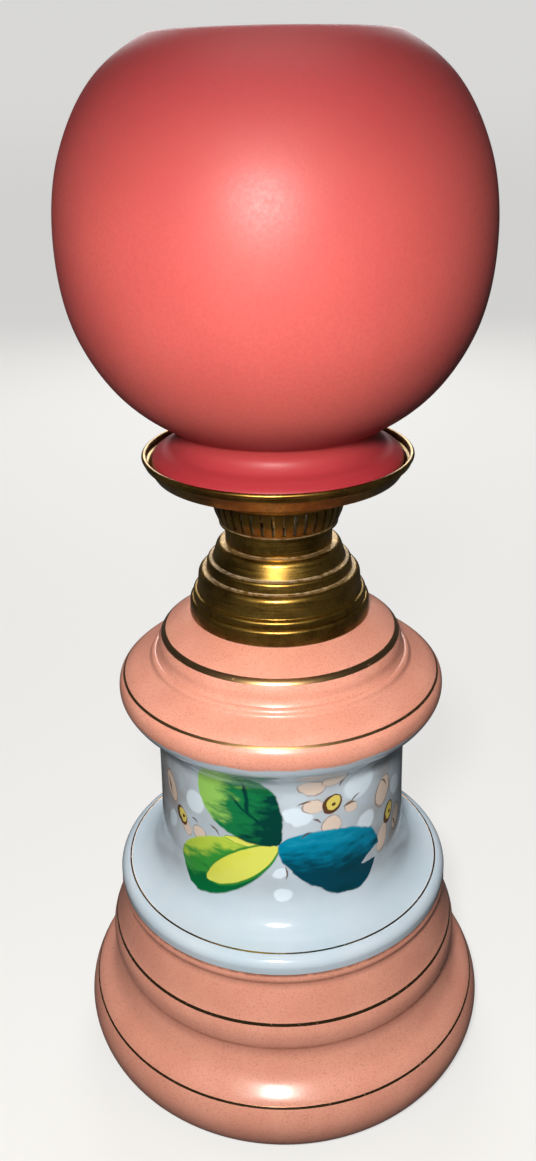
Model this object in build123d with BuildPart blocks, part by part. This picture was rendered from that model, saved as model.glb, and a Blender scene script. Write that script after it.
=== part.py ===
from build123d import *
import os

# Oil lamp: a two-step foot and a glass body that holds a drop-in brass font, a flat-wick
# burner with a shade gallery, a chimney and a ball shade.  Millimetres, +Z up, origin at
# the middle of the foot's underside.

os.makedirs("parts", exist_ok=True)

# ---------------------------------------------------------------- driving dimensions
foot_top_z = 85.9            # top of the two-step foot
cement_gap = 0.4             # cement line between foot and body, and under the seat ring
body_top_z = 218.8           # ground top of the glass body
body_bore_r = 33.4           # opening the font drops through

seat_r = 37.5                # brass ring cemented on the body
seat_bore_r = 33.2
seat_top_z = 226.0

font_r = 32.4                # drop-in reservoir
font_wall = 0.8
font_floor_z = 121.0
font_bottom_round = 14.0
cap_foot_z = seat_top_z + 0.1
cap_foot_r = 36.2
cap_top_z = 249.9
cap_hole_r = 16.5
sheet = 1.0                  # brass sheet of the cap, basket and gallery

collar_r = 22.0              # threaded collar on the cap
collar_bore_r = 18.55
collar_top_z = 257.6

thread_r = 18.5              # the burner's thread, a running fit in the collar
gasket_z = collar_top_z + 0.1
gasket_top_z = 258.5
base_plate_top_z = 259.4
basket_foot_r = 24.4
basket_top_z = 270.7
air_slots = 38
air_slot_width = 1.3

deck_top_z = 271.5
deck_r = 29.0
gallery_seat_z = 280.9       # top of the ledge that the shade stands on
gallery_rim_r = 54.0
gallery_rim_z = 287.7

wick_width = 22.6            # along Y
wick_thick = 3.0             # along X
wick_foot_z = 128.0
wick_top_z = 283.6
tube_inner = (3.8, 23.4)     # wick tube, X by Y
tube_outer = (5.0, 24.6)
tube_foot_z = 247.0
tube_top_z = 281.5

spindle_x = -5.5
spindle_z = 264.6
spindle_r = 1.2
spindle_bore_r = 1.25
wheel_r = 3.8                # over the tooth tips
wheel_teeth = 12
wheel_y = 6.5                # each wheel's distance from the wick's middle
wheel_width = 2.4
knob_r = 9.0
knob_y = 46.0

chimney_r = 25.0             # fitter
chimney_wall = 1.6
chimney_foot_z = 272.6
chimney_top_z = 424.0

shade_r = 80.0
shade_middle_z = 369.0
shade_wall = 3.2
shade_foot_z = gallery_seat_z + 0.3
shade_foot_r = 50.1
shade_top_r = 43.4           # outer edge of the ground top opening
shade_top_z = 435.8


# ---------------------------------------------------------------- two-step foot
# A hollow shell, open below: rounded lower step, cove, second step, waist and top bead.
with BuildPart() as foot_glass:
    with BuildSketch(Plane.XZ):
        with BuildLine():
            Spline((87.0, 0), (92.9, 8.3), (94.6, 18), (91.3, 27.6), (83.0, 35.5), (79.3, 42.5))
            Spline((79.3, 42.5), (79.1, 47.6), (81.2, 51.6), (81.5, 57), (78.3, 66.5), (74.9, 76.5))
            Spline((74.9, 76.5), (74.5, 80.4), (75.8, 82.7), (75.3, foot_top_z))
            Polyline((75.3, foot_top_z), (70.0, foot_top_z), (70.0, 77))
            Spline((70.0, 77), (73.4, 66), (75.9, 56), (74.0, 46), (77.6, 34), (86.5, 25), (89.4, 17), (82.0, 0))
            Line((82.0, 0), (87.0, 0))
        make_face()
    revolve(axis=Axis.Z)
foot_glass.part.label = "foot_glass"
export_step(foot_glass.part, "parts/foot_glass.step")

# Plaster ring that beds the body on the foot.
body_foot_z = foot_top_z + cement_gap
with BuildPart() as foot_cement_ring:
    with BuildSketch(Plane.XY.offset(foot_top_z)):
        Circle(74.6)
        Circle(70.6, mode=Mode.SUBTRACT)
    extrude(amount=cement_gap)
foot_cement_ring.part.label = "foot_cement_ring"
export_step(foot_cement_ring.part, "parts/foot_cement_ring.step")


# ---------------------------------------------------------------- glass body
# Skirt with an upright rim, slim waist, overhanging shoulder, a small double moulding
# and a cone up to the opening.
with BuildPart() as body_glass:
    with BuildSketch(Plane.XZ):
        with BuildLine():
            Line((75.5, body_foot_z), (75.7, 89.4))
            ThreePointArc((75.7, 89.4), (74.6, 92.2), (71.8, 93.7))
            Spline((71.8, 93.7), (65.4, 95.2), (59.6, 99.2), (56.4, 105.4), (55.1, 121), (54.5, 142),
                   (54.4, 160), tangents=((-1, 0.15), (0, 1)))
            Spline((54.4, 160), (57.0, 168), (62.0, 173.5), (67.0, 178.5), (69.8, 185), (69.2, 189.8),
                   (65.6, 193.7), (59.8, 196.6), (57.0, 197.9), tangents=((0, 1), (-1, 0.45)))
            ThreePointArc((57.0, 197.9), (56.0, 198.6), (55.5, 199.7))
            ThreePointArc((55.5, 199.7), (54.7, 200.9), (53.4, 201.3))
            Spline((53.4, 201.3), (52.4, 203.2), (51.9, 206.4), (50.9, 209.0), tangents=((-0.7, 1), (-0.5, 1)))
            ThreePointArc((50.9, 209.0), (50.0, 210.4), (48.6, 211.4))
            Line((48.6, 211.4), (37.6, body_top_z))
            Polyline((37.6, body_top_z), (body_bore_r, body_top_z), (body_bore_r, 214.4))
            Line((body_bore_r, 214.4), (45.4, 206.6))
            Spline((45.4, 206.6), (48.4, 198), (53.0, 193.4), (60.8, 190), (64.8, 185.6), (60.5, 179),
                   (52.4, 171), (49.8, 160), tangents=((0.5, -1), (0, -1)))
            Spline((49.8, 160), (50.0, 140), (50.8, 118), (52.4, 103.6), (57.0, 96.0), (65.0, 91.2),
                   (70.4, body_foot_z), tangents=((0, -1), (0.3, -1)))
            Line((70.4, body_foot_z), (75.5, body_foot_z))
        make_face()
    revolve(axis=Axis.Z)
body_glass.part.label = "body_glass"
export_step(body_glass.part, "parts/body_glass.step")

# Plaster bed under the brass seat ring.
with BuildPart() as seat_cement_ring:
    with BuildSketch(Plane.XY.offset(body_top_z)):
        Circle(37.2)
        Circle(body_bore_r + 0.4, mode=Mode.SUBTRACT)
    extrude(amount=cement_gap)
seat_cement_ring.part.label = "seat_cement_ring"
export_step(seat_cement_ring.part, "parts/seat_cement_ring.step")

# Brass ring that the font's cap rests on.
seat_foot_z = body_top_z + cement_gap
with BuildPart() as font_seat_ring:
    with BuildSketch(Plane.XZ):
        with BuildLine():
            FilletPolyline(
                (seat_bore_r, seat_foot_z), (seat_r + 0.3, seat_foot_z), (seat_r, seat_top_z),
                (seat_bore_r, seat_top_z), radius=(0.3, 1.5),
            )
            Line((seat_bore_r, seat_top_z), (seat_bore_r, seat_foot_z))
        make_face()
    revolve(axis=Axis.Z)
font_seat_ring.part.label = "font_seat_ring"
export_step(font_seat_ring.part, "parts/font_seat_ring.step")


# ---------------------------------------------------------------- font
# Reservoir: a deep brass cup with a flange that closes the cap from below.
font_inner_r = font_r - font_wall
flange_r = cap_foot_r - sheet
with BuildPart() as font_bowl:
    with BuildSketch(Plane.XZ):
        with BuildLine():
            FilletPolyline(
                (0, font_floor_z), (font_r, font_floor_z), (font_r, cap_foot_z),
                radius=font_bottom_round,
            )
            Polyline(
                (font_r, cap_foot_z), (flange_r, cap_foot_z), (flange_r, cap_foot_z + font_wall),
                (font_inner_r, cap_foot_z + font_wall),
            )
            FilletPolyline(
                (font_inner_r, cap_foot_z + font_wall), (font_inner_r, font_floor_z + font_wall),
                (0, font_floor_z + font_wall), radius=font_bottom_round - font_wall,
            )
            Line((0, font_floor_z + font_wall), (0, font_floor_z))
        make_face()
    revolve(axis=Axis.Z)
font_bowl.part.label = "font_bowl"
export_step(font_bowl.part, "parts/font_bowl.step")

# Stepped cap in three tiers, spun from sheet.
with BuildPart() as font_cap:
    with BuildSketch(Plane.XZ):
        with BuildLine():
            FilletPolyline(
                (cap_foot_r, cap_foot_z), (cap_foot_r, 229.0), (34.3, 229.4), (33.5, 237.8),
                (30.2, 238.3), (29.8, 242.7), (27.6, 242.9), (25.4, cap_top_z),
                (cap_hole_r, cap_top_z), radius=(1.3, 0.5, 2.4, 0.4, 1.5, 0.4, 2.8),
            )
            offset(amount=sheet, side=Side.LEFT)
        make_face()
    revolve(axis=Axis.Z)
font_cap.part.label = "font_cap"
export_step(font_cap.part, "parts/font_cap.step")

# Threaded collar that takes the burner.
with BuildPart() as burner_collar:
    with BuildSketch(Plane.XY.offset(cap_top_z)):
        Circle(collar_r)
        Circle(collar_bore_r, mode=Mode.SUBTRACT)
    extrude(amount=collar_top_z - cap_top_z)
    fillet(burner_collar.edges().filter_by(GeomType.CIRCLE).group_by(Axis.Z)[-1], radius=0.4)
burner_collar.part.label = "burner_collar"
export_step(burner_collar.part, "parts/burner_collar.step")


# ---------------------------------------------------------------- burner
# Cork washer on the collar.
with BuildPart() as collar_gasket:
    with BuildSketch(Plane.XY.offset(gasket_z)):
        Circle(21.3)
        Circle(thread_r, mode=Mode.SUBTRACT)
    extrude(amount=gasket_top_z - gasket_z)
collar_gasket.part.label = "collar_gasket"
export_step(collar_gasket.part, "parts/collar_gasket.step")

# Base plate with the threaded skirt below it and a slot for the wick tube.
with BuildPart() as burner_base:
    with BuildSketch(Plane.XY.offset(gasket_top_z)):
        Circle(basket_foot_r)
        Rectangle(*tube_outer, mode=Mode.SUBTRACT)
    extrude(amount=base_plate_top_z - gasket_top_z)
    with BuildSketch(Plane.XY.offset(gasket_top_z)):
        Circle(thread_r)
        Circle(thread_r - font_wall, mode=Mode.SUBTRACT)
    extrude(amount=-7.4)
burner_base.part.label = "burner_base"
export_step(burner_base.part, "parts/burner_base.step")

# Flaring air basket with upright slots all round, and a hole for the spindle sleeve.
sleeve_r = 2.4
slot_height = 9.4
slot_foot_z = base_plate_top_z + 1.2
with BuildPart() as air_basket:
    with BuildSketch(Plane.XZ):
        with BuildLine():
            FilletPolyline(
                (basket_foot_r - 0.5, base_plate_top_z - 1.2), (26.4, 264.6), (27.6, 272.2), radius=14,
            )
            offset(amount=sheet, side=Side.LEFT)
        make_face()
    revolve(axis=Axis.Z)
    split(bisect_by=Plane.XY.offset(base_plate_top_z), keep=Keep.TOP)
    split(bisect_by=Plane.XY.offset(basket_top_z), keep=Keep.BOTTOM)
    with Locations((0, 0, slot_foot_z + slot_height / 2)):
        with PolarLocations(basket_foot_r, air_slots):
            Box(12, air_slot_width, slot_height, mode=Mode.SUBTRACT)
    with Locations(Location((spindle_x, 24, spindle_z), (90, 0, 0))):
        Cylinder(sleeve_r, 12, mode=Mode.SUBTRACT)
air_basket.part.label = "air_basket"
export_step(air_basket.part, "parts/air_basket.step")

# Perforated deck over the basket.
with BuildPart() as burner_deck:
    with BuildSketch(Plane.XY.offset(basket_top_z)):
        Circle(deck_r)
        Rectangle(*tube_outer, mode=Mode.SUBTRACT)
        with PolarLocations(15.4, 14, start_angle=13):
            Circle(1.3, mode=Mode.SUBTRACT)
        with PolarLocations(19.6, 20):
            Circle(1.3, mode=Mode.SUBTRACT)
    extrude(amount=deck_top_z - basket_top_z)
burner_deck.part.label = "burner_deck"
export_step(burner_deck.part, "parts/burner_deck.step")

# Flat wick tube with two windows for the wick wheels.
with BuildPart() as wick_tube:
    with BuildSketch(Plane.XY.offset(tube_foot_z)):
        Rectangle(*tube_outer)
        Rectangle(*tube_inner, mode=Mode.SUBTRACT)
    extrude(amount=tube_top_z - tube_foot_z)
    with Locations((-tube_outer[0] / 2, -wheel_y, spindle_z), (-tube_outer[0] / 2, wheel_y, spindle_z)):
        Box(2.2, wheel_width + 1.2, 2 * wheel_r - 0.4, mode=Mode.SUBTRACT)
wick_tube.part.label = "wick_tube"
export_step(wick_tube.part, "parts/wick_tube.step")

# Bearing bracket: a channel on the tube's flat side, whose two ears carry the spindle.
ear_y = 10.6
ear_thick = 0.8
bracket_x = (spindle_x - wheel_r - 1.1, -tube_outer[0] / 2)
with BuildPart() as spindle_bracket:
    for side in (-1, 1):
        with BuildSketch(Plane.XZ.offset(-side * ear_y)):
            with Locations(((bracket_x[0] + bracket_x[1]) / 2, spindle_z)):
                Rectangle(bracket_x[1] - bracket_x[0], 7.0)
            with Locations((spindle_x, spindle_z)):
                Circle(spindle_bore_r, mode=Mode.SUBTRACT)
        extrude(amount=ear_thick / 2, both=True)
    with Locations((bracket_x[0] + ear_thick / 2, 0, spindle_z)):
        Box(ear_thick, 2 * ear_y, 5.0)
spindle_bracket.part.label = "spindle_bracket"
export_step(spindle_bracket.part, "parts/spindle_bracket.step")

# Sleeve that carries the spindle out through the basket wall.
sleeve_y = 18.0
sleeve_length = 16.0
with BuildPart() as spindle_sleeve:
    with BuildSketch(Plane.XZ.offset(-sleeve_y)):
        with Locations((spindle_x, spindle_z)):
            Circle(sleeve_r)
            Circle(spindle_bore_r, mode=Mode.SUBTRACT)
    extrude(amount=-sleeve_length)
spindle_sleeve.part.label = "spindle_sleeve"
export_step(spindle_sleeve.part, "parts/spindle_sleeve.step")

# Domed flame spreader with a slot over the wick.  Its apex falls inside the slot.
dome_r = 17.0
dome_apex_r = 2.0
dome_top_z = 287.7
dome_wall = 0.7
wick_slot = (6.4, 25.0, 12.0)
with BuildPart() as flame_spreader:
    with BuildSketch(Plane.XZ):
        with BuildLine():
            FilletPolyline(
                (20.6, deck_top_z + dome_wall), (dome_r, deck_top_z + dome_wall), (dome_r, 279.5),
                (11.0, dome_top_z), (dome_apex_r, dome_top_z), radius=(0.8, 5.0, 8.0),
            )
            offset(amount=dome_wall, side=Side.LEFT)
        make_face()
    revolve(axis=Axis.Z)
    with Locations((0, 0, dome_top_z)):
        Box(*wick_slot, mode=Mode.SUBTRACT)
flame_spreader.part.label = "flame_spreader"
export_step(flame_spreader.part, "parts/flame_spreader.step")

# Ring with six spring fingers that grip the chimney's fitter.
finger_thick = 0.6
finger_count = 6
finger_gap = 17.0
gap_foot_z = deck_top_z + 2.2
gap_height = 20.0
finger_r = chimney_r + 0.3 + finger_thick
with BuildPart() as chimney_prongs:
    with BuildSketch(Plane.XZ):
        with BuildLine():
            FilletPolyline(
                (21.2, deck_top_z), (finger_r + 1.6, deck_top_z), (finger_r, 280),
                (finger_r, 284), (finger_r + 1.6, 288.5), radius=(1.0, 3, 3),
            )
            offset(amount=finger_thick, side=Side.LEFT)
        make_face()
    revolve(axis=Axis.Z)
    with Locations((0, 0, gap_foot_z + gap_height / 2)):
        with PolarLocations(finger_r, finger_count):
            Box(8, finger_gap, gap_height, mode=Mode.SUBTRACT)
chimney_prongs.part.label = "chimney_prongs"
export_step(chimney_prongs.part, "parts/chimney_prongs.step")

# Shade gallery: a shallow dish with a flat ledge, a flaring wall, a small step and a beaded rim.
under_z = gallery_seat_z - sheet
rim_bead_r = 0.95
with BuildPart() as shade_gallery:
    with BuildSketch(Plane.XZ):
        with BuildLine():
            FilletPolyline(
                (27.8, deck_top_z), (29.9, deck_top_z), (31.0, 274.8), (42.0, under_z), (48.9, under_z),
                (51.8, 284.6), (gallery_rim_r - 1.0, 285.3), (gallery_rim_r - 0.7, gallery_rim_z),
                radius=(0.8, 0.8, 2.0, 1.6, 0.5, 0.5),
            )
            offset(amount=sheet, side=Side.LEFT)
        make_face()
        with Locations((gallery_rim_r - rim_bead_r, gallery_rim_z)):
            Circle(rim_bead_r)
    revolve(axis=Axis.Z)
shade_gallery.part.label = "shade_gallery"
export_step(shade_gallery.part, "parts/shade_gallery.step")


# ---------------------------------------------------------------- wick and its spindle
with BuildPart() as wick:
    with BuildSketch(Plane.XY.offset(wick_foot_z)):
        RectangleRounded(wick_thick, wick_width, 1.2)
    extrude(amount=wick_top_z - wick_foot_z)
wick.part.label = "wick"
export_step(wick.part, "parts/wick.step")

with BuildPart() as wick_spindle:
    with BuildSketch(Plane.XZ.offset(12.4)):
        with Locations((spindle_x, spindle_z)):
            Circle(spindle_r)
    extrude(amount=-(knob_y + 12.4))
wick_spindle.part.label = "wick_spindle"
export_step(wick_spindle.part, "parts/wick_spindle.step")

# Two toothed wheels on the spindle, one over each half of the wick.
with BuildPart() as wick_wheels:
    for side in (-1, 1):
        with BuildSketch(Plane.XZ.offset(-side * wheel_y)):
            with Locations((spindle_x, spindle_z)):
                Circle(wheel_r)
                with PolarLocations(wheel_r, wheel_teeth):
                    Circle(0.5, mode=Mode.SUBTRACT)
                Circle(spindle_r, mode=Mode.SUBTRACT)
        extrude(amount=wheel_width / 2, both=True)
wick_wheels.part.label = "wick_wheels"
export_step(wick_wheels.part, "parts/wick_wheels.step")

# Fluted turning knob with a raised boss on its face.
with BuildPart() as wick_knob:
    with BuildSketch(Plane.XZ.offset(-knob_y)):
        with Locations((spindle_x, spindle_z)):
            Circle(knob_r)
            with PolarLocations(knob_r + 0.6, 24):
                Circle(0.95, mode=Mode.SUBTRACT)
    extrude(amount=-3.0)
    with BuildSketch(Plane.XZ.offset(-knob_y - 3.0)):
        with Locations((spindle_x, spindle_z)):
            Circle(6.6)
    extrude(amount=-0.8)
    with BuildSketch(Plane.XZ.offset(-knob_y - 3.8)):
        with Locations((spindle_x, spindle_z)):
            Circle(3.0)
    extrude(amount=-1.2)
    with BuildSketch(Plane.XZ.offset(-knob_y)):
        with Locations((spindle_x, spindle_z)):
            Circle(3.2)
            Circle(spindle_r, mode=Mode.SUBTRACT)
    extrude(amount=4.0)
    fillet(wick_knob.edges().filter_by(GeomType.CIRCLE).group_by(Axis.Y)[-1], radius=0.6)
wick_knob.part.label = "wick_knob"
export_step(wick_knob.part, "parts/wick_knob.step")


# ---------------------------------------------------------------- chimney and shade
with BuildPart() as chimney:
    with BuildSketch(Plane.XZ):
        with BuildLine():
            FilletPolyline(
                (chimney_r, chimney_foot_z), (chimney_r, 291), (29.6, 322), (16.8, 384),
                (16.8, chimney_top_z), radius=(40, 30, 90),
            )
            offset(amount=chimney_wall, side=Side.LEFT)
        make_face()
    revolve(axis=Axis.Z)
chimney.part.label = "chimney"
export_step(chimney.part, "parts/chimney.step")

# Ball shade with a flared foot that stands in the gallery and a ground opening on top.
def inner_face(outline, wall):
    """The points of an upward outline moved inwards by the wall, square to the outline."""
    inner = []
    for before, here, after in zip(outline[:1] + outline, outline, outline[1:] + outline[-1:]):
        along = Vector(*after) - Vector(*before)
        inner.append(Vector(*here) + Vector(-along.Y, along.X).normalized() * wall)
    return inner


neck = (40.9, 300.2)
foot_outline = [
    (shade_foot_r - 2.6, shade_foot_z), (shade_foot_r - 0.5, 284.0), (49.8, 287.2), (46.6, 290.0),
    (42.2, 292.3), (39.8, 296.0), neck,
]
ball_outline = [
    neck, (59.3, 313.2), (74.5, 336.6), (shade_r, shade_middle_z), (75.6, 398.5), (61.3, 423.3),
    (shade_top_r, shade_top_z),
]
with BuildPart() as ball_shade:
    with BuildSketch(Plane.XZ):
        with BuildLine():
            foot_outer = Spline(*foot_outline)
            ball_outer = Spline(*ball_outline)
            foot_inner = Spline(*inner_face(foot_outline + ball_outline[1:2], shade_wall)[:-1])
            ball_inner = Spline(
                foot_inner @ 1, *inner_face(ball_outline, shade_wall)[1:-1],
                (shade_top_r - 5.2, shade_top_z),
            )
            Line(foot_outer @ 0, foot_inner @ 0)
            Line(ball_outer @ 1, ball_inner @ 1)
        make_face()
    revolve(axis=Axis.Z)
ball_shade.part.label = "ball_shade"
export_step(ball_shade.part, "parts/ball_shade.step")
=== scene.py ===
import math

import bmesh
import bpy
from mathutils import Matrix, Vector
from mathutils.geometry import interpolate_bezier


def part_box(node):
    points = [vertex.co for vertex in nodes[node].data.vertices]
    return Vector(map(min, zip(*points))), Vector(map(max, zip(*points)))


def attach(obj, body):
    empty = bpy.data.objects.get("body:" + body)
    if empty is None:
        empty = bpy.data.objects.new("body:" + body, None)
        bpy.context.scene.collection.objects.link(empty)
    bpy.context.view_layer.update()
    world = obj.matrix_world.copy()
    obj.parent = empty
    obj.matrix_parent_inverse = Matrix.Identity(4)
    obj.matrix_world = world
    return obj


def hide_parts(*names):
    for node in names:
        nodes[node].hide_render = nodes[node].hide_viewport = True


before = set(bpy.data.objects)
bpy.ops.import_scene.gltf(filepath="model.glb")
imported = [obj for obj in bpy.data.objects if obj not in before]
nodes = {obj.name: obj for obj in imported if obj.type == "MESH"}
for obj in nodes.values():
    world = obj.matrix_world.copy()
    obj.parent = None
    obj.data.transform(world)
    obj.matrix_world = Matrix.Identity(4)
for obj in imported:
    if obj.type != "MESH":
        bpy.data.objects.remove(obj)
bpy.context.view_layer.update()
MM = 0.001

# Heights of the lamp's pieces from the frame, in millimetres like every outline below.
foot_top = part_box("foot_glass")[1].z / MM
body_foot, body_top = (corner.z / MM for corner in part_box("body_glass"))
seat_foot, seat_top = (corner.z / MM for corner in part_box("font_seat_ring"))
cap_foot, cap_top = (corner.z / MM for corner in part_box("font_cap"))
collar_foot, collar_top = (corner.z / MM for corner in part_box("burner_collar"))
deck_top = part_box("burner_deck")[1].z / MM
wick_foot, wick_top = (corner.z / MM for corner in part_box("wick"))
chimney_foot, chimney_top = (corner.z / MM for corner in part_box("chimney"))
shade_foot, shade_top = (corner.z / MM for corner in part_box("ball_shade"))


# ---------------------------------------------------------------- outlines and turned shells
def curve(points, start=None, end=None, steps=8):
    """A smooth run through the points; start and end are optional directions at the two ends."""
    points = [Vector(point) for point in points]
    gaps = [(b - a).length for a, b in zip(points, points[1:])]
    slopes = [(b - a) / gap for a, b, gap in zip(points, points[1:], gaps)]
    inner = [(s0 * g1 + s1 * g0) / (g0 + g1) for s0, s1, g0, g1 in zip(slopes, slopes[1:], gaps, gaps[1:])]
    first = Vector(start).normalized() if start else 2 * slopes[0] - inner[0]
    last = Vector(end).normalized() if end else 2 * slopes[-1] - inner[-1]
    tangents = [first] + inner + [last]
    run = [points[0]]
    for a, b, gap, leave, arrive in zip(points, points[1:], gaps, tangents, tangents[1:]):
        run += interpolate_bezier(a, a + leave * gap / 3, b - arrive * gap / 3, b, steps + 1)[1:]
    return run


def rounded(points, radii, steps=6):
    """A run of straight lines whose corners are rounded to the radii."""
    run = [Vector(points[0])]
    for before, corner, after, radius in zip(points, points[1:], points[2:], radii):
        corner = Vector(corner)
        back = (Vector(before) - corner).normalized()
        ahead = (Vector(after) - corner).normalized()
        half = back.angle(ahead) / 2
        middle = corner + (back + ahead).normalized() * radius / math.sin(half)
        first = corner + back * radius / math.tan(half) - middle
        last = corner + ahead * radius / math.tan(half) - middle
        run += [middle + first.lerp(last, step / steps).normalized() * radius for step in range(steps + 1)]
    return run + [Vector(points[-1])]


def finely(run, longest=3.0):
    """The run with extra points, so that no step is longer than longest."""
    fine = [run[0]]
    for a, b in zip(run, run[1:]):
        pieces = max(1, math.ceil((b - a).length / longest))
        fine += [a.lerp(b, step / pieces) for step in range(1, pieces + 1)]
    return fine


def inwards(run, wall):
    """The run moved to its left by the wall."""
    moved = []
    for before, here, after in zip(run[:1] + run, run, run[1:] + run[-1:]):
        along = (after - before).normalized()
        moved.append(here + Vector((-along.y, along.x)) * wall)
    return moved


def shell(run, wall):
    return run + inwards(run, wall)[::-1]


def lathe(name, profiles, turns=192):
    """Turns closed profiles of (radius, height) about the lamp's axis into one smooth mesh."""
    build = bmesh.new()
    for profile in profiles:
        rings = []
        for step in range(turns):
            turn = math.tau * step / turns
            out = Vector((math.sin(turn), -math.cos(turn), 0))
            rings.append([build.verts.new((out * r + Vector((0, 0, z))) * MM) for r, z in profile])
        for ring, following in zip(rings, rings[1:] + rings[:1]):
            for corners in zip(ring, ring[1:] + ring[:1], following[1:] + following[:1], following):
                build.faces.new(corners)
    bmesh.ops.recalc_face_normals(build, faces=build.faces)
    return add_piece(name, build)


def add_piece(name, build, sharp_degrees=38):
    mesh = bpy.data.meshes.new(name)
    build.to_mesh(mesh)
    build.free()
    mesh.shade_smooth()
    mesh.set_sharp_from_angle(angle=math.radians(sharp_degrees))
    piece = bpy.data.objects.new(name, mesh)
    bpy.context.collection.objects.link(piece)
    return piece


def stand_for(piece, node, body, material):
    """The piece takes the place of a CAD node, moves with its body and wears the material."""
    piece.data.materials.append(material)
    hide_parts(node)
    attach(piece, body)


def foot_shell():
    outer = curve([(87.0, 0), (92.9, 8.3), (94.6, 18), (91.3, 27.6), (83.0, 35.5), (79.3, 42.5)])
    outer += curve([(79.3, 42.5), (79.1, 47.6), (81.2, 51.6), (81.5, 57), (78.3, 66.5), (74.9, 76.5)])[1:]
    outer += curve([(74.9, 76.5), (74.5, 80.4), (75.8, 82.7), (75.3, foot_top)])[1:]
    inner = curve([(70.0, 77), (73.4, 66), (75.9, 56), (74.0, 46), (77.6, 34), (86.5, 25), (89.4, 17),
                   (82.0, 0)])
    return lathe("foot_shell", [outer + [Vector((70.0, foot_top))] + inner])


def body_shell():
    """Skirt with an upright rim, waist, overhanging shoulder, double moulding and cone."""
    outer = [Vector((75.5, body_foot))]
    outer += curve([(75.7, 89.4), (74.6, 92.2), (71.8, 93.7)], start=(0, 1), end=(-1, 0.15))
    outer += curve([(71.8, 93.7), (65.4, 95.2), (59.6, 99.2), (56.4, 105.4), (55.1, 121), (54.5, 142),
                    (54.4, 160)], start=(-1, 0.15), end=(0, 1))[1:]
    outer += curve([(54.4, 160), (57.0, 168), (62.0, 173.5), (67.0, 178.5), (69.8, 185), (69.2, 189.8),
                    (65.6, 193.7), (59.8, 196.6), (57.0, 197.9)], start=(0, 1), end=(-1, 0.45))[1:]
    outer += curve([(57.0, 197.9), (56.0, 198.6), (55.5, 199.7)])[1:]
    outer += curve([(55.5, 199.7), (54.7, 200.9), (53.4, 201.3)])[1:]
    outer += curve([(53.4, 201.3), (52.4, 203.2), (51.9, 206.4), (50.9, 209.0)],
                   start=(-0.7, 1), end=(-0.5, 1))[1:]
    outer += curve([(50.9, 209.0), (50.0, 210.4), (48.6, 211.4)])[1:]
    bore_r = 33.4
    inner = [Vector((37.6, body_top)), Vector((bore_r, body_top)), Vector((bore_r, 214.4))]
    inner += curve([(45.4, 206.6), (48.4, 198), (53.0, 193.4), (60.8, 190), (64.8, 185.6), (60.5, 179),
                    (52.4, 171), (49.8, 160)], start=(0.5, -1), end=(0, -1))
    inner += curve([(49.8, 160), (50.0, 140), (50.8, 118), (52.4, 103.6), (57.0, 96.0), (65.0, 91.2),
                    (70.4, body_foot)], start=(0, -1), end=(0.3, -1))[1:]
    return lathe("body_shell", [finely(outer) + inner])


def seat_band():
    bore_r, rim_r = 33.2, 37.5
    face = rounded([(bore_r, seat_foot), (rim_r + 0.3, seat_foot), (rim_r, seat_top), (bore_r, seat_top)],
                   (0.3, 1.5))
    return lathe("seat_band", [face])


def stepped_cap():
    sheet, foot_r, hole_r = 1.0, 36.2, 16.5
    outline = rounded(
        [(foot_r, cap_foot), (foot_r, 229.0), (34.3, 229.4), (33.5, 237.8), (30.2, 238.3), (29.8, 242.7),
         (27.6, 242.9), (25.4, cap_top), (hole_r, cap_top)], (1.3, 0.5, 2.4, 0.4, 1.5, 0.4, 2.8))
    return lathe("stepped_cap", [shell(outline, sheet)])


def collar_band():
    bore_r, rim_r = 18.55, 22.0
    face = rounded([(bore_r, collar_foot), (rim_r, collar_foot), (rim_r, collar_top), (bore_r, collar_top)],
                   (0.2, 0.4))
    return lathe("collar_band", [face])


def gallery_dish():
    sheet, rim_r, rim_z, seat_z, bead_r = 1.0, 54.0, 287.7, 280.9, 0.95
    under = seat_z - sheet
    outline = rounded(
        [(27.8, deck_top), (29.9, deck_top), (31.0, 274.8), (42.0, under), (48.9, under), (51.8, 284.6),
         (rim_r - 1.0, 285.3), (rim_r - 0.7, rim_z)], (0.8, 0.8, 2.0, 1.6, 0.5, 0.5))
    bead = []
    for step in range(16):
        turn = math.tau * step / 16
        bead.append(Vector((rim_r - bead_r + bead_r * math.cos(turn), rim_z + bead_r * math.sin(turn))))
    return lathe("gallery_dish", [shell(outline, sheet), bead])


def chimney_tube():
    foot_r, tip_r, wall = 25.0, 16.8, 1.6
    outline = rounded(
        [(foot_r, chimney_foot), (foot_r, 291), (29.6, 322), (tip_r, 384), (tip_r, chimney_top)],
        (40, 30, 90), steps=14)
    return lathe("chimney_tube", [shell(outline, wall)], turns=128)


def satin_ball():
    """Ball shade with a flared foot and a ground top edge."""
    wall, rim_width, top_r, middle_r = 3.2, 5.2, 43.4, 80.0
    neck = (40.9, 300.2)
    outline = curve([(47.5, shade_foot), (49.6, 284.0), (49.8, 287.2), (46.6, 290.0), (42.2, 292.3),
                     (39.8, 296.0), neck])
    outline += curve([neck, (59.3, 313.2), (74.5, 336.6), (middle_r, 369.0), (75.6, 398.5), (61.3, 423.3),
                      (top_r, shade_top)], steps=14)[1:]
    inner = inwards(outline, wall)
    inner[-1] = Vector((top_r - rim_width, shade_top))
    inner[0] = Vector((inner[0].x, max(inner[0].y, shade_foot)))
    return lathe("satin_ball", [outline + inner[::-1]])


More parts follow.
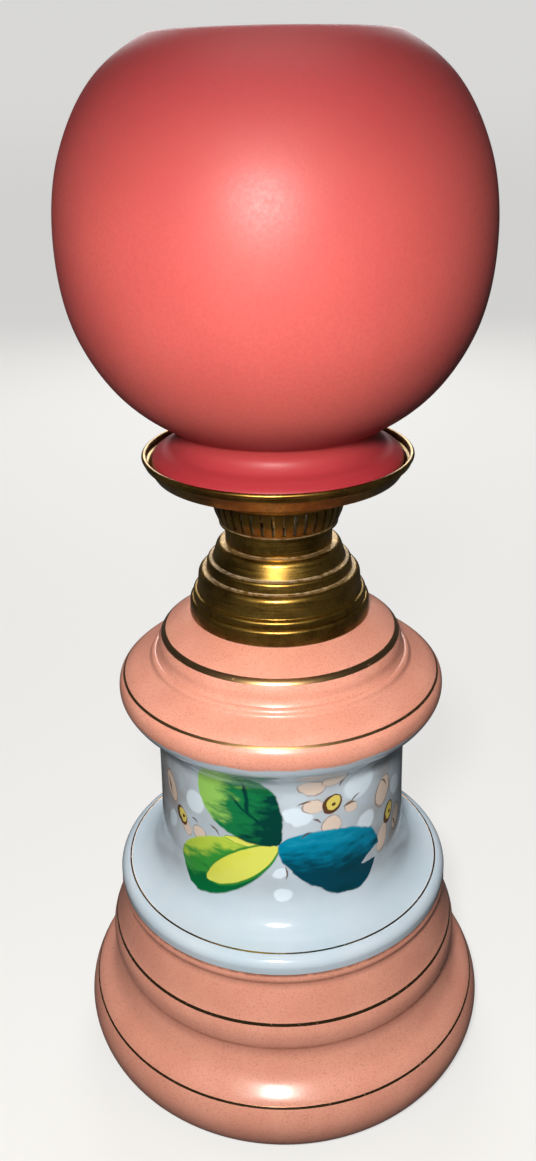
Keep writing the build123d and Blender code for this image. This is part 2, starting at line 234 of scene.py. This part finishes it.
def woven_wick():
    """A thick cotton tape: plaited ribs side by side, swelling and pinching along their length."""
    width, thick, ribs, per_rib = 22.6, 3.0, 9, 6
    rib = (width - 1.2) / ribs
    pick = 1.6
    build = bmesh.new()
    levels = int((wick_top - wick_foot) / 0.4)
    rings = []
    for level in range(levels + 1):
        z = wick_foot + (wick_top - wick_foot) * level / levels
        ring = []
        for side in (1, -1):
            for step in range(ribs * per_rib + 1):
                across = -0.5 + step / (ribs * per_rib)
                phase = step / per_rib
                hump = abs(math.sin(math.pi * phase)) ** 0.6
                twist = math.sin(math.tau * (z / pick + 0.5 * (int(phase) % 2)) + side)
                swell = thick / 2 - 0.42 + 0.28 * hump + 0.10 * twist * hump
                ends = min(1.0, (0.5 - abs(across)) * width / 1.1)
                x = side * swell * math.sqrt(max(0.06, ends * (2 - ends)))
                y = side * across * (ribs * rib)
                ring.append(build.verts.new(Vector((x, y, z)) * MM))
        rings.append(ring)
    for ring, following in zip(rings, rings[1:]):
        for corners in zip(ring, ring[1:] + ring[:1], following[1:] + following[:1], following):
            build.faces.new(corners)
    build.faces.new(rings[0])
    build.faces.new(rings[-1][::-1])
    bmesh.ops.recalc_face_normals(build, faces=build.faces)
    return add_piece("woven_wick", build, sharp_degrees=75)


# ---------------------------------------------------------------- shader building
class Shader:
    """A material under construction. Each call adds one node and returns its output."""

    def __init__(self, name, **principled):
        self.material = bpy.data.materials.new(name)
        self.material.use_nodes = True
        self.tree = self.material.node_tree
        self.bsdf = self.tree.nodes["Principled BSDF"]
        self.position = self.add("ShaderNodeTexCoord").outputs["Object"]
        for key, value in principled.items():
            self.bsdf.inputs[key.replace("_", " ")].default_value = value

    def add(self, kind, **settings):
        node = self.tree.nodes.new(kind)
        for key, value in settings.items():
            setattr(node, key, value)
        return node

    def feed(self, socket, value):
        if isinstance(value, bpy.types.NodeSocket):
            self.tree.links.new(value, socket)
        else:
            socket.default_value = value

    def set(self, name, value):
        self.feed(self.bsdf.inputs[name], value)

    def math(self, operation, a, b=0.0):
        node = self.add("ShaderNodeMath", operation=operation)
        self.feed(node.inputs[0], a)
        self.feed(node.inputs[1], b)
        return node.outputs[0]

    def axis(self, which):
        node = self.add("ShaderNodeSeparateXYZ")
        self.feed(node.inputs[0], self.position)
        return node.outputs[which]

    def radius(self):
        x, y = self.axis("X"), self.axis("Y")
        return self.math("SQRT", self.math("ADD", self.math("MULTIPLY", x, x), self.math("MULTIPLY", y, y)))

    def turn(self):
        """The angle round the lamp in radians: 0 at the front, positive to the right."""
        return self.math("ARCTAN2", self.axis("X"), self.math("MULTIPLY", self.axis("Y"), -1.0))

    def noise(self, scale, detail=3.0, roughness=0.55, stretch=(1, 1, 1)):
        mapping = self.add("ShaderNodeMapping")
        self.feed(mapping.inputs["Vector"], self.position)
        mapping.inputs["Scale"].default_value = stretch
        node = self.add("ShaderNodeTexNoise")
        self.feed(node.inputs["Vector"], mapping.outputs[0])
        for key, value in (("Scale", scale), ("Detail", detail), ("Roughness", roughness)):
            node.inputs[key].default_value = value
        return node.outputs["Fac"]

    def spots(self, scale):
        node = self.add("ShaderNodeTexVoronoi")
        self.feed(node.inputs["Vector"], self.position)
        node.inputs["Scale"].default_value = scale
        return node.outputs["Distance"]

    def smooth(self, value, low, high, out_low=0.0, out_high=1.0):
        node = self.add("ShaderNodeMapRange", interpolation_type="SMOOTHSTEP")
        for socket, number in zip(node.inputs, (value, low, high, out_low, out_high)):
            self.feed(socket, number)
        return node.outputs[0]

    def band(self, value, centre, half_width, soft):
        """1 within half_width of centre, falling to 0 over soft."""
        away = self.math("ABSOLUTE", self.math("SUBTRACT", value, centre))
        return self.smooth(away, half_width, half_width + soft, 1.0, 0.0)

    def mix(self, factor, a, b):
        node = self.add("ShaderNodeMix", data_type="RGBA")
        self.feed(node.inputs["Factor"], factor)
        for socket, colour in ((node.inputs[6], a), (node.inputs[7], b)):
            self.feed(socket, colour if isinstance(colour, bpy.types.NodeSocket) else (*colour, 1.0))
        return node.outputs[2]

    def blend(self, factor, a, b):
        """Like mix, for two numbers in place of colours."""
        node = self.add("ShaderNodeMix", data_type="FLOAT")
        for socket, value in zip(node.inputs[:1] + node.inputs[2:4], (factor, a, b)):
            self.feed(socket, value)
        return node.outputs[0]

    def bump(self, height, distance, strength=1.0):
        node = self.add("ShaderNodeBump")
        self.feed(node.inputs["Height"], height)
        node.inputs["Distance"].default_value = distance
        node.inputs["Strength"].default_value = strength
        if self.bsdf.inputs["Normal"].is_linked:
            self.feed(node.inputs["Normal"], self.bsdf.inputs["Normal"].links[0].from_socket)
        self.set("Normal", node.outputs[0])


# ---------------------------------------------------------------- glass, enamel and gilding
def rose_satin():
    """Acid-satin rose glass with a few pale nicks; painted shade darkens it towards the top and at the neck,
    and a painted highlight makes the foot rim paler.
    """
    s = Shader("rose_satin")
    cloud, grain = s.noise(9.0, 2.0), s.noise(900.0, 2.0)
    height = s.axis("Z")
    warm = s.mix(s.smooth(cloud, 0.35, 0.7), (0.44, 0.082, 0.070), (0.37, 0.060, 0.056))
    # Painted shade: the colour darkens towards the top of the ball, where less light falls.
    shoulder = s.smooth(height, 0.365, 0.432)
    colour = s.mix(shoulder, warm, (0.20, 0.024, 0.026))
    # Painted shade: the colour darkens at the neck, in the crease under the ball.
    depth = s.smooth(height, 0.285, 0.322)
    colour = s.mix(depth, (0.27, 0.018, 0.025), colour)
    # Painted highlight: the foot rim is made paler where light falls on the flare.
    colour = s.mix(s.smooth(height, 0.2838, 0.2870), (0.42, 0.13, 0.125), colour)
    colour = s.mix(s.smooth(grain, 0.3, 0.75, 0.0, 0.25), colour, (0.28, 0.035, 0.033))
    point, some = s.smooth(s.spots(55.0), 0.035, 0.05, 1.0, 0.0), s.smooth(s.noise(14.0), 0.60, 0.64)
    nick = s.math("MULTIPLY", point, some)
    s.set("Base Color", s.mix(nick, colour, (0.85, 0.55, 0.50)))
    s.bsdf.inputs["Subsurface Weight"].default_value = 0.12
    s.bsdf.inputs["Subsurface Radius"].default_value = (0.006, 0.002, 0.0015)
    s.bsdf.inputs["Subsurface Scale"].default_value = 1.0
    s.set("Roughness", s.smooth(grain, 0.2, 0.8, 0.44, 0.52))
    s.bsdf.inputs["Specular IOR Level"].default_value = 0.27
    s.bump(grain, 0.00005, 0.6)
    return s.material


SALMON = (0.67, 0.30, 0.215)
SALMON_DEEP = (0.54, 0.205, 0.14)
SPECK = (0.36, 0.12, 0.075)
GILT = (0.42, 0.25, 0.11)


def salmon_enamel(s):
    """Fired enamel: cloudy patches, a fine darker speckle and a few larger dark specks."""
    patch, fine = s.noise(45.0, 3.0), s.noise(1500.0, 2.0, 0.6)
    colour = s.mix(s.smooth(patch, 0.3, 0.7, 0.0, 0.4), SALMON, SALMON_DEEP)
    colour = s.mix(s.smooth(fine, 0.50, 0.72, 0.0, 0.55), colour, SPECK)
    point, some = s.smooth(s.spots(95.0), 0.03, 0.045, 1.0, 0.0), s.smooth(s.noise(30.0), 0.60, 0.64)
    pit = s.math("MULTIPLY", point, some)
    return s.mix(pit, colour, (0.10, 0.035, 0.02))


def gilded(s, colour, lines):
    """Fired gold lines, a little worn, over the colour. Returns their mask and the new colour."""
    wear = s.smooth(s.noise(700.0, 3.0, 0.7), 0.28, 0.36)
    mask = lines[0]
    for line in lines[1:]:
        mask = s.math("MAXIMUM", mask, line)
    mask = s.math("MULTIPLY", mask, wear)
    s.set("Metallic", mask)
    s.bump(mask, 0.00005, 0.6)
    return mask, s.mix(mask, colour, GILT)


def pink_foot():
    s = Shader("pink_foot", Coat_Weight=0.15, Coat_Roughness=0.10, Specular_IOR_Level=0.4)
    height = s.axis("Z")
    # Darker in a thin band at the top of the foot, just under the skirt's rim.
    near_joint = s.smooth(height, 0.0845, 0.0858)
    joint_darkening = s.math("MULTIPLY", near_joint, s.smooth(s.noise(300.0, 2.0), 0.3, 0.6, 0.4, 0.8))
    colour = s.mix(joint_darkening, salmon_enamel(s), (0.12, 0.05, 0.03))
    lines = [s.band(height, 0.0274, 0.0004, 0.00012), s.band(height, 0.0627, 0.0006, 0.00012)]
    mask, colour = gilded(s, colour, lines)
    s.set("Base Color", colour)
    s.set("Roughness", s.blend(mask, s.smooth(s.noise(60.0), 0.3, 0.7, 0.26, 0.36), 0.18))
    s.bump(s.noise(260.0, 2.0), 0.00006, 0.35)
    return s.material


# ---------------------------------------------------------------- the painted flowers
# Places on the waist are (x, z) in mm: x runs round the glass from the front, to the right.
WAIST_R = 54.5
LEAF_LIGHT, LEAF_MID, LEAF_DARK = (0.26, 0.50, 0.10), (0.006, 0.155, 0.048), (0.0, 0.040, 0.030)
LEMON, TEAL, TEAL_DARK = (0.63, 0.65, 0.11), (0.0, 0.20, 0.33), (0.0, 0.045, 0.075)
PEACH, PALE_BLUE = (0.70, 0.54, 0.43), (0.66, 0.76, 0.84)
UMBER, YOLK = (0.10, 0.045, 0.02), (0.66, 0.54, 0.12)
WASH = (0.27, 0.24, 0.225)

# Each petal: centre, size along and across, lean in degrees, colour.
PETALS = [
    ((34, 159), (17, 14), 30, PALE_BLUE), ((6, 150), (14, 9), -15, PALE_BLUE),
    ((12, 164), (12, 9), -20, PEACH), ((21, 167), (11, 8), 20, PEACH),
    ((13, 154), (10, 7), -10, PEACH), ((21, 143), (10, 9), 70, PEACH),
    ((30, 149), (7, 5), -30, PEACH), ((-40, 148), (12, 11), 70, PALE_BLUE),
    ((-57, 147), (15, 8), 115, PEACH), ((-46, 132), (8, 6), -40, PEACH),
    ((-38, 133), (8, 7), 0, PEACH), ((-57, 130), (11, 7), 60, PALE_BLUE),
    ((38, 138), (12, 10), 60, PALE_BLUE), ((49, 148), (15, 10), 70, PEACH),
    ((49, 124), (14, 7), 75, PEACH), ((60, 145), (12, 8), 120, PALE_BLUE),
    ((62, 127), (12, 7), 60, PEACH), ((0, 111), (8, 7), 0, PALE_BLUE),
    ((-1, 122), (6, 5), 30, PALE_BLUE),
]
HEARTS = [((21, 153.5), (9, 8), 55), ((-49, 136.5), (9, 6), 110), ((54, 134), (10, 7), 70)]
# Each fine brush stroke: its two ends.
STROKES = [
    ((7, 138.5), (13, 142)), ((1, 126), (1.5, 118)), ((25, 150.5), (33, 151)), ((-33, 140.5), (-26, 136)),
    ((29, 151), (35, 155)), ((-43, 139), (-38, 137.5)), ((12, 148), (17, 145)), ((24, 161), (26, 166)),
    ((-61, 152), (-56, 141)), ((47, 155), (52, 149)), ((58, 129), (62, 120)), ((5, 155), (13, 157)),
]


class Painter:
    """Lays painted shapes over a colour, on the waist's unrolled surface."""

    def __init__(self, s, colour):
        self.s, self.colour = s, colour
        around = s.math("MULTIPLY", s.turn(), WAIST_R)
        up = s.math("MULTIPLY", s.axis("Z"), 1 / MM)
        shake = s.math("MULTIPLY", s.math("SUBTRACT", s.noise(170.0, 2.0), 0.5), 2.2)
        join = s.add("ShaderNodeCombineXYZ")
        s.feed(join.inputs[0], s.math("ADD", around, shake))
        s.feed(join.inputs[1], s.math("ADD", up, shake))
        self.canvas = join.outputs[0]
        self.front = s.smooth(s.math("MULTIPLY", s.axis("Y"), -1.0), 0.0, 0.002)

    def local(self, centre, size, lean):
        """A shape's own coordinates, x along it and y across it, each -1 to 1."""
        node = self.s.add("ShaderNodeMapping", vector_type="TEXTURE")
        self.s.feed(node.inputs["Vector"], self.canvas)
        node.inputs["Location"].default_value = (*centre, 0)
        node.inputs["Rotation"].default_value = (0, 0, math.radians(lean))
        node.inputs["Scale"].default_value = (size[0] / 2, size[1] / 2, 1)
        split = self.s.add("ShaderNodeSeparateXYZ")
        self.s.feed(split.inputs[0], node.outputs[0])
        return split.outputs[0], split.outputs[1]

    def lay(self, mask, colour):
        self.colour = self.s.mix(self.s.math("MULTIPLY", mask, self.front), self.colour, colour)

    def oval(self, centre, size, lean):
        """How far out each point is from an oval's centre: 1 at its edge."""
        s = self.s
        x, y = self.local(centre, size, lean)
        return s.math("SQRT", s.math("ADD", s.math("MULTIPLY", x, x), s.math("MULTIPLY", y, y)))

    def petal(self, centre, size, lean, colour):
        s = self.s
        out = self.oval(centre, size, lean)
        self.lay(s.smooth(out, 0.80, 1.08, 0.85, 0.0), colour)
        if colour == PEACH:
            uneven = s.smooth(s.noise(120.0), 0.35, 0.65, 0.2, 0.8)
            self.lay(s.math("MULTIPLY", s.band(out, 0.98, 0.02, 0.10), uneven), (0.24, 0.16, 0.12))

    def heart(self, centre, size, lean):
        s = self.s
        out = self.oval(centre, size, lean)
        self.lay(s.smooth(out, 1.0, 1.12, 1.0, 0.0), UMBER)
        low = self.oval((centre[0] + 0.6, centre[1] + 0.5), (size[0] * 0.8, size[1] * 0.78), lean)
        self.lay(s.smooth(low, 0.88, 1.0, 1.0, 0.0), YOLK)
        dot = self.oval((centre[0] + 1, centre[1]), (1.7, 1.7), 0)
        self.lay(s.smooth(dot, 0.8, 1.2, 1.0, 0.0), UMBER)

    def stroke(self, start, end):
        s = self.s
        start, end = Vector(start), Vector(end)
        along = end - start
        x, y = self.local((start + end) / 2, (along.length, 1.3), math.degrees(math.atan2(along.y, along.x)))
        squared = s.math("MULTIPLY", x, x)
        bowed = s.math("SUBTRACT", y, s.math("SUBTRACT", 0.6, s.math("MULTIPLY", squared, 1.2)))
        taper = s.math("SUBTRACT", 1.0, squared)
        self.lay(s.smooth(s.math("SUBTRACT", taper, s.math("ABSOLUTE", bowed)), 0.1, 0.5, 0.0, 0.85), UMBER)

    def leaf(self, root, tip, width, root_power, tip_power):
        """A leaf's depth, 0 at its edge, and its own coordinates, x from root to tip."""
        s = self.s
        root, tip = Vector(root), Vector(tip)
        along = tip - root
        x, y = self.local((root + tip) / 2, (along.length, width), math.degrees(math.atan2(along.y, along.x)))
        from_root = s.math("POWER", s.math("MAXIMUM", s.math("ADD", x, 1.0), 0.0), root_power)
        from_tip = s.math("POWER", s.math("MAXIMUM", s.math("SUBTRACT", 1.0, x), 0.0), tip_power)
        beyond = s.math("MAXIMUM", s.math("SUBTRACT", s.math("ABSOLUTE", x), 1.0), 0.0)
        across = s.math("ADD", s.math("ABSOLUTE", y), s.math("MULTIPLY", beyond, 20.0))
        return s.math("SUBTRACT", s.math("MULTIPLY", from_root, from_tip), across), x, y

    def brushed(self, x, y, x_part, y_part):
        """A tone that runs along and across a leaf, broken up by brush marks."""
        s = self.s
        tone = s.math("ADD", s.math("MULTIPLY", x, x_part), s.math("MULTIPLY", y, y_part))
        marks = s.math("SUBTRACT", s.noise(260.0, 2.0, 0.5, (0.5, 0.5, 1.4)), 0.5)
        return s.math("ADD", tone, marks)

    def upper_leaf(self):
        s = self.s
        depth, x, y = self.leaf((-1, 136), (-32, 170), 33, 0.75, 0.45)
        tone = self.brushed(x, y, 0.8, 0.25)
        green = s.mix(s.smooth(tone, -0.45, -0.05), LEAF_DARK, LEAF_MID)
        green = s.mix(s.smooth(tone, 0.10, 0.55), green, LEAF_LIGHT)
        inside = s.smooth(depth, 0.0, 0.08)
        self.lay(inside, green)
        rib = s.math("SUBTRACT", 0.06, s.math("ABSOLUTE", s.math("SUBTRACT", y, s.math("MULTIPLY", x, 0.12))))
        length = s.smooth(x, 0.15, 0.4, 1.0, 0.0)
        vein_at = s.math("ABSOLUTE", s.math("SUBTRACT", s.math("ADD", x, s.math("MULTIPLY", y, 0.9)), -0.15))
        vein = s.math("MULTIPLY", s.smooth(vein_at, 0.03, 0.09, 1.0, 0.0), s.smooth(y, -0.65, -0.5))
        vein = s.math("MULTIPLY", vein, s.smooth(y, -0.05, 0.0, 1.0, 0.0))
        rib = s.math("MULTIPLY", s.smooth(rib, 0.0, 0.05), length)
        self.lay(s.math("MULTIPLY", s.math("MAXIMUM", rib, vein), inside), LEAF_DARK)

    def lower_leaf(self):
        s = self.s
        depth, x, y = self.leaf((-2, 135.5), (-47, 111), 27, 0.6, 0.35)
        tone = self.brushed(x, y, -0.1, -0.8)
        green = s.mix(s.smooth(tone, -0.35, -0.05), (0.0, 0.11, 0.03), (0.03, 0.26, 0.035))
        green = s.mix(s.smooth(tone, 0.15, 0.60), green, (0.42, 0.56, 0.06))
        self.lay(s.smooth(depth, 0.0, 0.08), green)

    def yellow_leaf(self):
        s = self.s
        for root, tip, width in (((-3, 135.5), (-25, 136.5), 4.0), ((-2, 135.3), (-34, 111.5), 13.5)):
            depth, x, y = self.leaf(root, tip, width, 0.6, 0.6)
            self.lay(s.smooth(depth, -0.16, -0.08, 0.0, 0.9), (0.03, 0.22, 0.03))
            streak = s.smooth(self.brushed(x, y, 0.3, -0.6), -0.2, 0.6, 0.0, 0.5)
            self.lay(s.smooth(depth, 0.0, 0.08), s.mix(streak, LEMON, (0.60, 0.62, 0.05)))

    def teal_leaf(self):
        s = self.s
        depth, x, y = self.leaf((-1.5, 136), (44, 116), 31, 0.55, 0.3)
        notch, _, _ = self.leaf((49, 121), (35, 117.5), 5.5, 0.4, 0.8)
        depth = s.math("SUBTRACT", depth, s.smooth(notch, -0.05, 0.35, 0.0, 1.6))
        inside = s.smooth(depth, 0.0, 0.07)
        tone = self.brushed(x, y, -0.35, 0.65)
        blue = s.mix(s.smooth(tone, -0.30, 0.45), TEAL_DARK, TEAL)
        blue = s.mix(s.smooth(tone, 0.35, 0.8, 0.0, 0.6), blue, (0.02, 0.32, 0.45))
        self.lay(inside, blue)
        shade_low = s.smooth(self.oval((27, 107.5), (18, 8), -10), 0.4, 1.1, 0.85, 0.0)
        shade_right = s.smooth(self.oval((29, 119), (15, 7), 15), 0.3, 1.1, 0.7, 0.0)
        dark = s.math("MAXIMUM", shade_low, shade_right)
        self.lay(s.math("MULTIPLY", dark, inside), (0.0, 0.035, 0.05))

    def wash(self):
        """Grey-brown airbrushing behind the flowers, strongest at the waist's sides."""
        s = self.s
        around = s.math("MULTIPLY", s.math("ABSOLUTE", s.turn()), WAIST_R)
        height = s.axis("Z")
        reach = s.math("MULTIPLY", s.smooth(height, 0.098, 0.125), s.smooth(height, 0.164, 0.176, 1.0, 0.0))
        blotch = s.smooth(s.noise(38.0, 3.0), 0.38, 0.66, 0.10, 0.8)
        sides = s.smooth(around, 28.0, 58.0, 0.35, 1.0)
        far = s.smooth(around, 75.0, 95.0, 1.0, 0.0)
        mask = s.math("MULTIPLY", s.math("MULTIPLY", reach, blotch), s.math("MULTIPLY", sides, far))
        self.lay(mask, WASH)

    def paint(self):
        self.wash()
        for petal in PETALS:
            self.petal(*petal)
        for heart in HEARTS:
            self.heart(*heart)
        self.lower_leaf()
        self.yellow_leaf()
        self.upper_leaf()
        self.teal_leaf()
        for ends in STROKES:
            self.stroke(*ends)
        return self.colour


def white_body():
    """Opal glass, painted on the waist, with the shoulder and cone in salmon enamel."""
    s = Shader("white_body", Coat_Weight=0.22, Coat_Roughness=0.05, Specular_IOR_Level=0.42)
    height, radius = s.axis("Z"), s.radius()
    white = s.mix(s.smooth(s.noise(30.0, 3.0), 0.3, 0.7), (0.44, 0.53, 0.60), (0.49, 0.56, 0.625))
    white = Painter(s, white).paint()
    ragged = s.math("ADD", height, s.smooth(s.noise(120.0, 2.0), 0.3, 0.7, -0.0004, 0.0004))
    enamelled = s.smooth(ragged, 0.1822, 0.1832)
    colour = s.mix(enamelled, white, salmon_enamel(s))
    rim = s.math("MULTIPLY", s.band(radius, 0.0712, 0.00033, 0.00012), s.band(height, 0.0938, 0.0012, 0.0002))
    lines = [rim, s.band(height, 0.1921, 0.00035, 0.00012), s.band(height, 0.2104, 0.0009, 0.00012)]
    _, colour = gilded(s, colour, lines)
    s.set("Base Color", colour)
    s.bsdf.inputs["Subsurface Weight"].default_value = 0.08
    s.bsdf.inputs["Subsurface Radius"].default_value = (0.004, 0.004, 0.005)
    s.bsdf.inputs["Subsurface Scale"].default_value = 1.0
    s.set("Roughness", s.blend(enamelled, 0.13, 0.33))
    s.bump(s.noise(240.0, 2.0), 0.00005, 0.3)
    return s.material


# ---------------------------------------------------------------- metal, wick and small parts
def aged_brass(name, bright, dark, roughness=(0.26, 0.44), residue_lines=()):
    """Spun brass with stains; residue_lines are heights in mm where old polish has dried pale."""
    s = Shader(name)
    turned = s.noise(60.0, 4.0, 0.6, stretch=(1, 1, 40))
    stain, fine = s.noise(55.0, 4.0, 0.65), s.noise(1400.0, 2.0)
    colour = s.mix(s.smooth(stain, 0.34, 0.68), bright, dark)
    colour = s.mix(s.smooth(fine, 0.45, 0.8, 0.0, 0.5), colour, (0.03, 0.02, 0.01))
    crust = 0.0
    for height in residue_lines:
        crust = s.math("MAXIMUM", crust, s.band(s.axis("Z"), height * MM, 0.0001, 0.0004))
    crust = s.math("MULTIPLY", crust, s.smooth(s.noise(420.0, 3.0, 0.7), 0.32, 0.60, 0.10, 0.65))
    s.set("Base Color", s.mix(crust, colour, (0.34, 0.27, 0.20)))
    s.set("Metallic", s.math("SUBTRACT", 1.0, crust))
    s.set("Roughness", s.blend(crust, s.smooth(turned, 0.25, 0.75, *roughness), 0.8))
    s.bump(turned, 0.00004, 0.35)
    s.bump(stain, 0.0001, 0.2)
    return s.material


def plaster():
    s = Shader("plaster", Roughness=0.9)
    s.set("Base Color", s.mix(s.noise(400.0, 3.0), (0.08, 0.05, 0.035), (0.24, 0.18, 0.13)))
    s.bump(s.noise(900.0), 0.0001, 0.8)
    return s.material


def cork():
    s = Shader("cork", Roughness=0.85)
    s.set("Base Color", s.mix(s.spots(900.0), (0.16, 0.08, 0.04), (0.40, 0.25, 0.13)))
    s.bump(s.spots(900.0), 0.0001, 0.7)
    return s.material


def dull_steel():
    s = Shader("dull_steel", Metallic=1.0)
    s.set("Base Color", s.mix(s.noise(300.0, 3.0), (0.30, 0.28, 0.26), (0.16, 0.13, 0.11)))
    s.set("Roughness", s.smooth(s.noise(500.0), 0.3, 0.7, 0.3, 0.5))
    return s.material


def chimney_glass():
    s = Shader("chimney_glass", Roughness=0.02, IOR=1.5)
    s.bsdf.inputs["Transmission Weight"].default_value = 1.0
    s.set("Base Color", s.mix(s.noise(20.0), (0.93, 0.97, 0.95), (0.97, 0.98, 0.97)))
    s.bump(s.noise(35.0, 2.0), 0.0002, 0.3)
    return s.material


def wick_cotton():
    """Plaited cotton, oil-stained, charred at the burning edge."""
    s = Shader("wick_cotton", Roughness=0.95)
    height = s.axis("Z")
    fibre = s.noise(2200.0, 3.0, 0.7, stretch=(1, 1, 0.3))
    cotton = s.mix(s.smooth(fibre, 0.3, 0.7), (0.62, 0.54, 0.40), (0.42, 0.34, 0.22))
    singed = s.math("ADD", height, s.smooth(s.noise(500.0, 3.0), 0.3, 0.7, -0.0008, 0.0008))
    cotton = s.mix(s.smooth(singed, 0.2755, 0.2800), cotton, (0.16, 0.08, 0.035))
    s.set("Base Color", s.mix(s.smooth(singed, 0.2802, 0.2822), cotton, (0.012, 0.010, 0.009)))
    s.bsdf.inputs["Sheen Weight"].default_value = 0.3
    s.bump(fibre, 0.00012, 0.7)
    return s.material


def dress(node, material):
    for slot in nodes[node].material_slots:
        slot.material = material


BRASS_BRIGHT, BRASS_DARK = (0.40, 0.24, 0.050), (0.17, 0.094, 0.018)
cap_brass = aged_brass("cap_brass", BRASS_BRIGHT, BRASS_DARK, residue_lines=(238.4, 243.0, 250.2))
burner_brass = aged_brass("burner_brass", BRASS_BRIGHT, BRASS_DARK, residue_lines=(259.6,))
bowl_brass = aged_brass("bowl_brass", (0.55, 0.40, 0.16), (0.34, 0.24, 0.10), (0.34, 0.55))
steel, bed = dull_steel(), plaster()
stand_for(foot_shell(), "foot_glass", "base", pink_foot())
stand_for(body_shell(), "body_glass", "base", white_body())
stand_for(seat_band(), "font_seat_ring", "base", cap_brass)
stand_for(stepped_cap(), "font_cap", "font", cap_brass)
stand_for(collar_band(), "burner_collar", "font", cap_brass)
stand_for(gallery_dish(), "shade_gallery", "burner", burner_brass)
stand_for(chimney_tube(), "chimney", "chimney", chimney_glass())
stand_for(satin_ball(), "ball_shade", "shade", rose_satin())
stand_for(woven_wick(), "wick", "wick", wick_cotton())
for name in ("burner_base", "air_basket", "burner_deck", "flame_spreader", "chimney_prongs", "wick_knob"):
    dress(name, burner_brass)
for name in ("font_bowl", "wick_tube", "spindle_bracket", "spindle_sleeve"):
    dress(name, bowl_brass)
for name in ("wick_spindle", "wick_wheels"):
    dress(name, steel)
for name in ("foot_cement_ring", "seat_cement_ring"):
    dress(name, bed)
dress("collar_gasket", cork())


# ---------------------------------------------------------------- stage, lights and camera
def backdrop():
    """A round pale floor that curves up into a pale wall, lit a little from within so it stays even."""
    s = Shader("backdrop", Roughness=0.9)
    s.bsdf.inputs["Specular IOR Level"].default_value = 0.2
    pale = s.mix(s.noise(6.0), (0.80, 0.79, 0.77), (0.83, 0.82, 0.80))
    s.set("Base Color", s.mix(s.smooth(s.axis("Z"), 0.0, 0.5), (0.24, 0.237, 0.226), pale))
    s.bsdf.inputs["Emission Color"].default_value = (1.0, 0.99, 0.97, 1.0)
    s.bsdf.inputs["Emission Strength"].default_value = 0.62
    floor_r, bend_r, wall_top, bend_steps, turns = 3.2, 0.6, 4.0, 16, 96
    profile = [(0.0, 0.0), (floor_r, 0.0)]
    for step in range(1, bend_steps + 1):
        angle = math.pi / 2 * step / bend_steps
        profile.append((floor_r + bend_r * math.sin(angle), bend_r * (1 - math.cos(angle))))
    profile.append((floor_r + bend_r, wall_top))
    build = bmesh.new()
    points = [build.verts.new((r, 0, z)) for r, z in profile]
    edges = [build.edges.new(pair) for pair in zip(points, points[1:])]
    bmesh.ops.spin(build, geom=points + edges, cent=(0, 0, 0), axis=(0, 0, 1), angle=math.tau, steps=turns)
    bmesh.ops.remove_doubles(build, verts=build.verts, dist=0.0001)
    bmesh.ops.recalc_face_normals(build, faces=build.faces)
    piece = add_piece("backdrop", build)
    piece.data.materials.append(s.material)
    piece.visible_glossy = False
    piece.visible_diffuse = False


def area_light(name, place, aim, size, watts, colour=(1, 1, 1)):
    data = bpy.data.lights.new(name, "AREA")
    data.shape = "DISK"
    data.size = size
    data.energy = watts
    data.color = colour
    light = bpy.data.objects.new(name, data)
    light.location = place
    light.rotation_euler = (Vector(aim) - Vector(place)).to_track_quat("-Z", "Y").to_euler()
    bpy.context.collection.objects.link(light)


def studio():
    backdrop()
    world = bpy.data.worlds.new("studio")
    bpy.context.scene.world = world
    world.use_nodes = True
    world.node_tree.nodes["Background"].inputs["Color"].default_value = (0.9, 0.95, 1.0, 1.0)
    world.node_tree.nodes["Background"].inputs["Strength"].default_value = 0.06
    lamp_middle = (0, 0, shade_top * MM / 2)
    area_light("key", (-0.035, -0.42, 0.49), (0, 0, 0.16), 0.07, 4.0, (1.0, 0.97, 0.93))
    area_light("fill", (-0.25, -1.5, 1.1), lamp_middle, 1.0, 2.2)
    area_light("back", (0.0, 1.35, 0.85), lamp_middle, 0.9, 12.0)
    area_light("top", (0.0, 0.3, 1.9), lamp_middle, 1.2, 6.0)


def camera():
    """A hand-held view from just in front, level with the top of the shade and looking down."""
    data = bpy.data.cameras.new("camera")
    data.sensor_fit = "VERTICAL"
    data.sensor_height = 36.0
    data.lens = 33.0
    view = bpy.data.objects.new("camera", data)
    view.location = (0.0, -0.4055, 0.4183)
    pitch, yaw, roll = math.radians(24.82), math.radians(0.67), math.radians(-0.97)
    level = Matrix.Rotation(yaw, 4, "Z") @ Matrix.Rotation(math.pi / 2 - pitch, 4, "X")
    view.rotation_euler = (level @ Matrix.Rotation(roll, 4, "Z")).to_euler()
    bpy.context.collection.objects.link(view)
    bpy.context.scene.camera = view


studio()
camera()
bpy.context.scene.view_settings.view_transform = "Standard"
